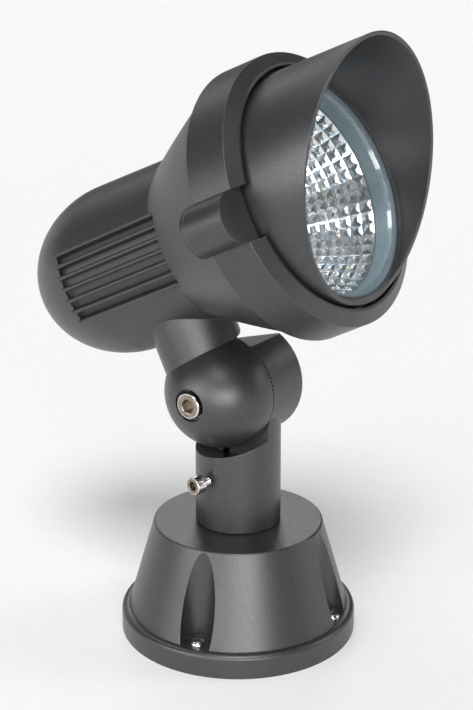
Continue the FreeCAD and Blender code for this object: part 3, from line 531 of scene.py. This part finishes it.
clampNutSize = {
    "flats": 10.0 * mm, "height": 5.0 * mm, "bore": 3.05 * mm, "chamfer": 0.9 * mm, "footSide": 12.9 * mm,
    "cornerShare": 0.995,       # the turned corners stand this far out
}
nutCorner = clampNutSize["flats"] / sqrt(3)
nutMiddle = (0, 0, clampNutSize["height"] / 2)
pickNothing()
bpy.ops.mesh.primitive_cylinder_add(vertices=6, radius=nutCorner, depth=clampNutSize["height"],
                                    location=nutMiddle)
clampNut = startPiece("clampNut")
bpy.ops.mesh.primitive_cylinder_add(vertices=96, radius=nutCorner * clampNutSize["cornerShare"],
                                    depth=clampNutSize["height"], location=nutMiddle)
nutRound = startPiece("nutRound")
pickEdges(nutRound, lambda one, other: abs(one.z - other.z) < mergeNear)
bpy.ops.mesh.bevel(offset=clampNutSize["chamfer"], segments=1)
cutAway(clampNut, nutRound, "INTERSECT")
bpy.ops.mesh.primitive_cylinder_add(vertices=48, radius=clampNutSize["bore"], depth=20 * mm)
cutAway(clampNut, bpy.context.object)
seat = Matrix.Translation((clampNutSize["footSide"], pivotPoint.y, pivotPoint.z))
placePiece(clampNut, seat @ Matrix.Rotation(pi / 2, 4, "Y"))
finishPiece(clampNut, "post", zincSteel, 20)
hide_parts("pivot_nut")


# reflector: rows of square facets, each a low pyramid with a small flat top

bowl = {
    "throatRadius": 10.0 * mm, "throatStation": 16.2 * mm,
    "mouthRadius": 38.0 * mm, "mouthStation": 62.5 * mm,
    "rimRadius": 38.35 * mm, "collarRadius": 39.0 * mm, "collarRise": 0.3 * mm,
    "flangeRadius": 41.2 * mm, "flangeStation": 65.95 * mm, "facetsRound": 52, "wall": 0.8 * mm,
    "steps": ((0.3, 0.1), (0.12, 0.015)),      # of a facet's width: inwards, upwards
}


bowlSpread = bowl["mouthRadius"] ** 2 - bowl["throatRadius"] ** 2
bowlLength = bowl["mouthStation"] - bowl["throatStation"]


# a paraboloid from the throat to the mouth
def bowlRadius(station):
    share = (station - bowl["throatStation"]) / bowlLength
    return sqrt(bowl["throatRadius"] ** 2 + share * bowlSpread)


widening = bowlSpread / bowlLength / 2      # the slope of the wall, times its radius
rowStations = [bowl["mouthStation"]]
while rowStations[-1] > bowl["throatStation"]:
    radius = bowlRadius(rowStations[-1])
    facetWidth = 2 * pi * radius / bowl["facetsRound"]
    rowStations.append(rowStations[-1] - facetWidth / sqrt(1 + (widening / radius) ** 2))
rowStations[-1] = bowl["throatStation"]
rowStations.reverse()

pickNothing()
bpy.ops.mesh.primitive_circle_add(vertices=bowl["facetsRound"], radius=bowl["throatRadius"],
                                  location=(0, 0, bowl["throatStation"]))
facetBowl = startPiece("facetBowl")
bpy.ops.object.transform_apply(location=True, rotation=True, scale=True)
bpy.ops.object.mode_set(mode="EDIT")
bpy.ops.mesh.select_all(action="SELECT")
for lower, upper in zip(rowStations, rowStations[1:]):
    bpy.ops.mesh.extrude_region_move(TRANSFORM_OT_translate={"value": (0, 0, upper - lower)})
    growth = bowlRadius(upper) / bowlRadius(lower)
    bpy.ops.transform.resize(value=(growth, growth, 1))
bpy.ops.mesh.select_all(action="SELECT")
bpy.ops.mesh.normals_make_consistent(inside=True)
for lower, upper in zip(rowStations, rowStations[1:]):
    facetWidth = 2 * pi * bowlRadius((lower + upper) / 2) / bowl["facetsRound"]
    leastArea = 0.5 * facetWidth * (upper - lower)      # leaves out the small faces of a finished row
    pickFaces(facetBowl, lambda face: lower < face.center.z < upper and face.area > leastArea)
    for inwards, upwards in bowl["steps"]:
        bpy.ops.mesh.inset(thickness=inwards * facetWidth, depth=upwards * facetWidth, use_individual=True)
pickEdges(facetBowl, lambda one, other: min(one.z, other.z) > bowl["mouthStation"] - mergeNear)
reached = bowl["mouthRadius"]
collarLength = bowl["flangeStation"] - bowl["mouthStation"] - bowl["collarRise"]
for radius, rise in ((bowl["rimRadius"], 0.0), (bowl["collarRadius"], bowl["collarRise"]),
                     (bowl["collarRadius"], collarLength), (bowl["flangeRadius"], 0.0)):
    bpy.ops.mesh.extrude_region_move(TRANSFORM_OT_translate={"value": (0, 0, rise)})
    bpy.ops.transform.resize(value=(radius / reached, radius / reached, 1))
    reached = radius
bpy.ops.mesh.select_all(action="SELECT")
bpy.ops.mesh.remove_doubles(threshold=1e-7)
bpy.ops.object.mode_set(mode="OBJECT")
shell = facetBowl.modifiers.new("shell", "SOLIDIFY")
shell.thickness = bowl["wall"]
shell.offset = -1
bpy.ops.object.modifier_apply(modifier=shell.name)
placePiece(facetBowl, lampFrame)
finishPiece(facetBowl, "head", mirrorReflector, 9)
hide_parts("reflector")
print("reflector faceted:", len(rowStations) - 1, "rows")

# hood: its wall thins towards the rim, which is cut on a slant, turned a little in the ring, and rounded
glareHood = {
    "corners": 160, "radius": 43.4, "bore": 41.6, "rimWall": 1.25, "taper": 0.047, "lipStation": 73.7,
    "flangeRadius": 49.6, "flangeStation": 64.0, "flangeFront": 66.5,
    "stopRadius": 40.6, "stopStation": 73.2, "stopFront": 74.2,
    "cutStation": 93.8, "cutSlope": 0.483, "cutTurn": 0.016, "rimRound": 0.45 * mm, "farStation": 130.0,
}
hoodFar = glareHood["radius"] - glareHood["taper"] * (glareHood["farStation"] - glareHood["lipStation"])
hoodOutline = [
    (glareHood["bore"], glareHood["flangeStation"]), (glareHood["flangeRadius"], glareHood["flangeStation"]),
    (glareHood["flangeRadius"], glareHood["flangeFront"]), (glareHood["radius"], glareHood["flangeFront"]),
    (glareHood["radius"], glareHood["lipStation"]), (hoodFar, glareHood["farStation"]),
    (hoodFar - glareHood["rimWall"], glareHood["farStation"]), (glareHood["bore"], glareHood["stopFront"]),
    (glareHood["stopRadius"], glareHood["stopFront"]), (glareHood["stopRadius"], glareHood["stopStation"]),
    (glareHood["bore"], glareHood["stopStation"]),
]
hoodShell = turnRing("hoodShell", [(radius * mm, station * mm) for radius, station in hoodOutline],
                     glareHood["corners"])
# each point of the far end slides back along its wall to the slanted plane of the rim
rimNormal = Vector((-glareHood["cutTurn"], -glareHood["cutSlope"], 1))
rimPlace = glareHood["cutStation"] * mm
middleFar = (hoodFar - glareHood["rimWall"] / 2) * mm
for point in hoodShell.data.vertices:
    if point.co.z < (glareHood["farStation"] - 1) * mm:
        continue
    isOuter = point.co.xy.length > middleFar
    footRadius = (glareHood["radius"] if isOuter else glareHood["bore"]) * mm
    footStation = (glareHood["lipStation"] if isOuter else glareHood["stopFront"]) * mm
    foot = Vector((*(point.co.xy.normalized() * footRadius), footStation))
    along = point.co - foot
    share = (rimPlace - foot.dot(rimNormal)) / along.dot(rimNormal)
    point.co = foot + along * max(share, 0.0)


# an edge in the plane of the rim that runs round the hood, and not across its wall
def runsRound(one, other):
    inPlane = max(abs(one.dot(rimNormal) - rimPlace), abs(other.dot(rimNormal) - rimPlace)) < mergeNear
    return inPlane and abs(one.xy.length - other.xy.length) < 0.3 * mm


pickEdges(hoodShell, runsRound)
bpy.ops.mesh.bevel(offset=glareHood["rimRound"], segments=3)
bpy.ops.object.mode_set(mode="OBJECT")
placePiece(hoodShell, lampFrame)
finishPiece(hoodShell, "head", hoodCoat, 35)
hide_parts("hood")
print("hood cut and rounded")

# gasket of the glass: rounded front lip, slot for the glass, rear lip, skirt inside the reflector's mouth
lensSeal = {
    "corners": 144,
    "outline": [(41.35, 66.0), (41.35, 72.7), (41.2, 73.05), (40.85, 73.18), (39.6, 73.18), (39.25, 73.08),
                (39.1, 72.8), (39.1, 72.3), (39.3, 72.02), (40.45, 72.02), (40.45, 67.98), (39.15, 67.98),
                (38.95, 67.7), (38.8, 66.6), (38.5, 62.9), (38.65, 62.85), (38.92, 63.2), (38.95, 66.0)],
}
lensGasket = turnRing("lensGasket", [(radius * mm, station * mm) for radius, station in lensSeal["outline"]],
                      lensSeal["corners"])
placePiece(lensGasket, lampFrame)
finishPiece(lensGasket, "head", greySilicone, 40)
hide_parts("glass_gasket")
print("gasket turned")


# floor, light and camera

shot = {"azimuth": radians(-54.83), "elevation": radians(18.66), "distance": 599.8 * mm, "lens": 80.65,
        "aside": -0.66 * mm, "height": 111.9 * mm}
studio = {
    "floorTone": (0.86, 0.86, 0.86, 1), "worldTone": (1, 1, 1, 1), "worldStrength": 0.1,
    "lightWidth": radians(22), "floorSize": 60, "fibreTone": (0.9, 0.9, 0.9, 1),
    "lights": {
        # name: degrees round from the camera to its right, degrees up, strength
        "highFront": (0, 58, 1.8), "keyRight": (16, 5, 1.2), "keyLeft": (-50, 10, 0.78),
        "farLeft": (-70, 10, 0.42), "nearLeft": (-20, 10, 0.55), "nearFront": (0, 4, 0.95),
        "highLeft": (-40, 32, 0.26), "sideRight": (100, 32, 0.45), "lowRight": (90, 10, 0.17),
        "rimBack": (180, 32, 0.36), "topBack": (180, 58, 0.15), "topLeft": (-120, 58, 0.3),
        "backLeft": (-150, 32, 0.14), "lowBackLeft": (-140, 10, 0.08),
    },
}
pickNothing()
bpy.ops.mesh.primitive_plane_add(size=studio["floorSize"])
floor = startPiece("studioFloor")
floorPaper, tree, shader, place = startMaterial("floorPaper")
fibre = noise(tree, place, 140.0, 3.0)
floorTone = mixColours(tree, fibre, studio["floorTone"], studio["fibreTone"])
tree.links.new(floorTone, shader.inputs["Base Color"])
shader.inputs["Roughness"].default_value = 0.85
floor.data.materials.append(floorPaper)

world = bpy.data.worlds.new("studioLight")
bpy.context.scene.world = world
world.use_nodes = True
world.node_tree.nodes["Background"].inputs["Color"].default_value = studio["worldTone"]
world.node_tree.nodes["Background"].inputs["Strength"].default_value = studio["worldStrength"]
for lightName, (turn, rise, strength) in studio["lights"].items():
    turn, rise = shot["azimuth"] + radians(turn), radians(rise)
    lamp = bpy.data.lights.new(lightName, "SUN")
    lamp.energy = strength
    lamp.angle = studio["lightWidth"]
    lampObject = bpy.data.objects.new(lightName, lamp)
    bpy.context.scene.collection.objects.link(lampObject)
    lampObject.rotation_mode = "QUATERNION"
    comesFrom = Vector((sin(turn) * cos(rise), -cos(turn) * cos(rise), sin(rise)))
    lampObject.rotation_quaternion = comesFrom.to_track_quat("Z", "Y")

back = Vector((sin(shot["azimuth"]) * cos(shot["elevation"]), -cos(shot["azimuth"]) * cos(shot["elevation"]),
               sin(shot["elevation"])))
right = Vector((cos(shot["azimuth"]), sin(shot["azimuth"]), 0))
camera = bpy.data.objects.new("camera", bpy.data.cameras.new("camera"))
bpy.context.scene.collection.objects.link(camera)
camera.data.lens = shot["lens"]
camera.data.sensor_width = 36
camera.data.clip_start = 0.02
camera.data.clip_end = 50
camera.location = right * shot["aside"] + Vector((0, 0, shot["height"])) + back * shot["distance"]
camera.rotation_mode = "QUATERNION"
camera.rotation_quaternion = (-back).to_track_quat("-Z", "Y")
bpy.context.scene.camera = camera
bpy.context.scene.view_settings.view_transform = "Standard"
print("studio and camera set")
